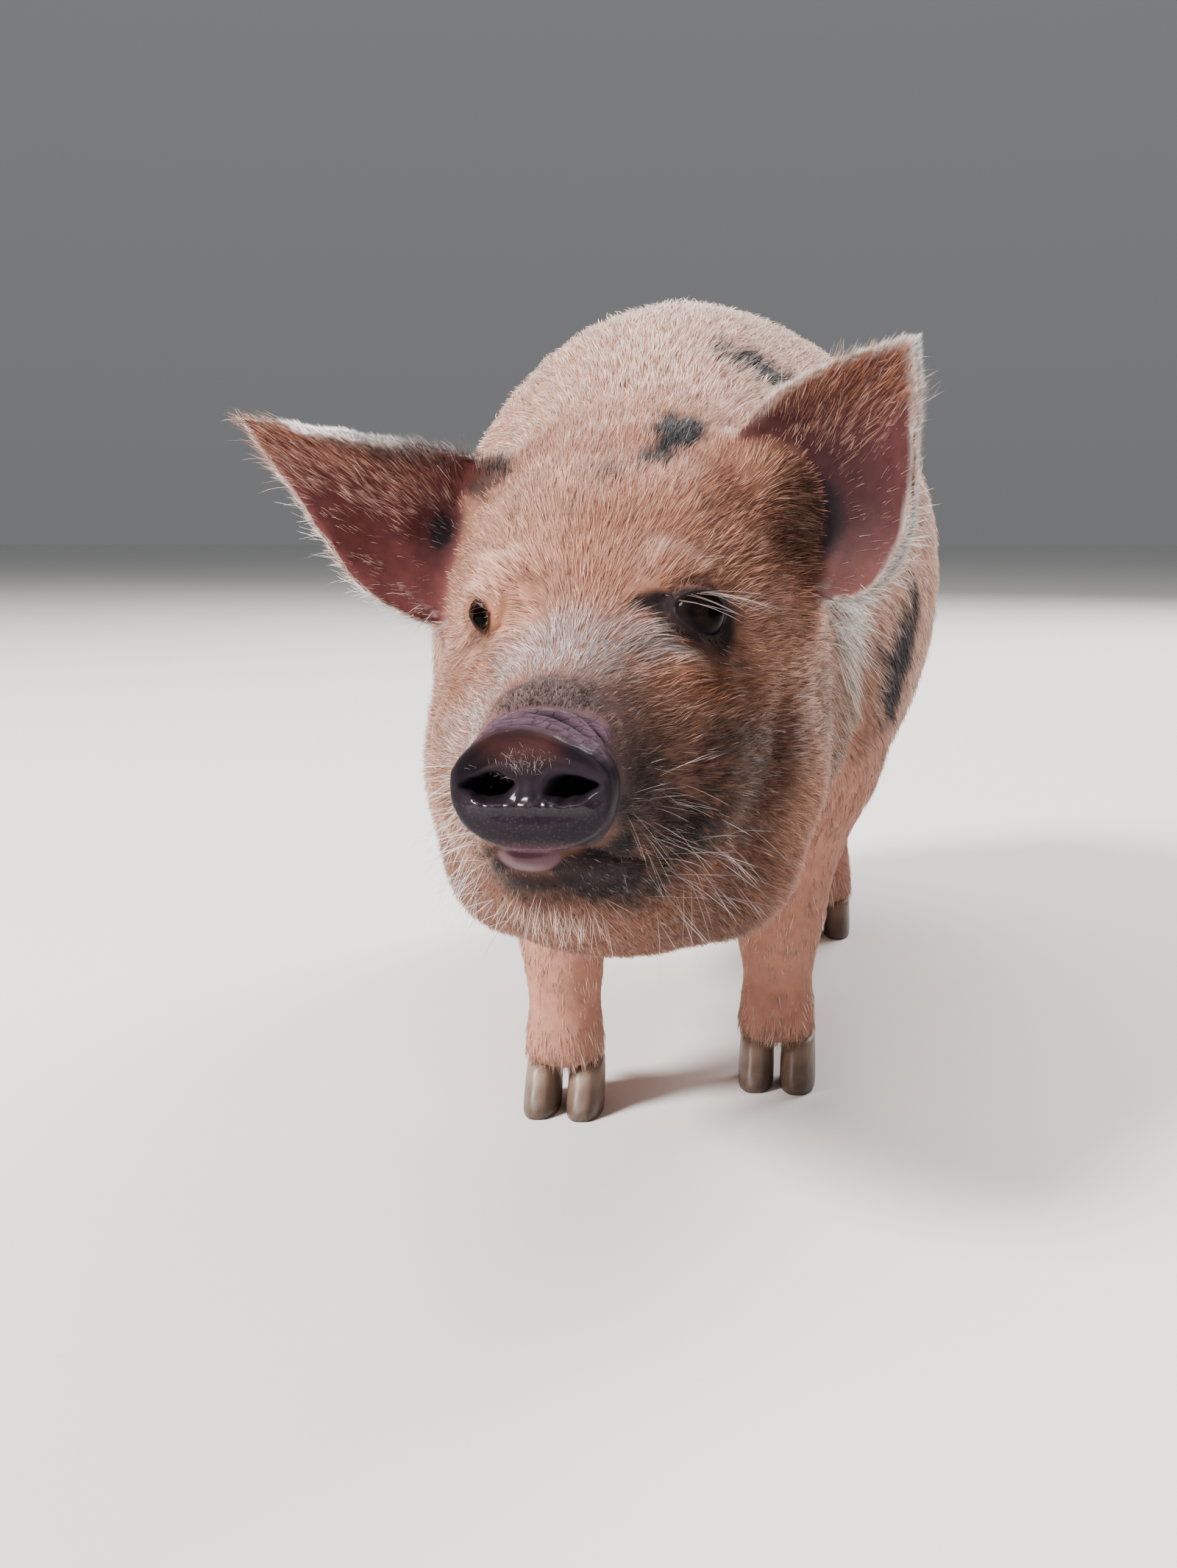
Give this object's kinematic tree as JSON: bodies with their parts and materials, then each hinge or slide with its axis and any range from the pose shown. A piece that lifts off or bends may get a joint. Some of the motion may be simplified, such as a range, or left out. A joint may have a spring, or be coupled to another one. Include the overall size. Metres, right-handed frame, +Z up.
{
  "type": "kunekune pig",
  "caption": "Young kunekune pig standing with lowered head and pricked ears, a still life-size animal model with trotters, snout disc, eyes and tail as separate named solids.",
  "frame": {"origin": "on the floor, under the middle of the whole animal's bounding box", "axes": "+Y towards the tail, the snout faces -Y; +X towards the animal's own left side; +Z up"},
  "size_m": [0.3024, 0.7456, 0.4],
  "materials": {
    "coat": "soft ginger hair over pink skin",
    "snout": "damp dark bare skin",
    "eye": "wet dark brown",
    "hoof": "dull horn"
  },
  "bodies": {
    "root": {"head": "coat", "lower_jaw": "coat", "neck": "coat", "trunk": "coat", "tail": "coat", "ear_left": "coat", "ear_right": "coat", "foreleg_left": "coat", "foreleg_right": "coat", "hindleg_left": "coat", "hindleg_right": "coat", "snout_disc": "snout", "eye_left": "eye", "eye_right": "eye", "claw_fore_left_outer": "hoof", "dewclaw_fore_left_outer": "hoof", "claw_fore_left_inner": "hoof", "dewclaw_fore_left_inner": "hoof", "claw_fore_right_outer": "hoof", "dewclaw_fore_right_outer": "hoof", "claw_fore_right_inner": "hoof", "dewclaw_fore_right_inner": "hoof", "claw_hind_left_outer": "hoof", "dewclaw_hind_left_outer": "hoof", "claw_hind_left_inner": "hoof", "dewclaw_hind_left_inner": "hoof", "claw_hind_right_outer": "hoof", "dewclaw_hind_right_outer": "hoof", "claw_hind_right_inner": "hoof", "dewclaw_hind_right_inner": "hoof"}
  },
  "joints": []
}
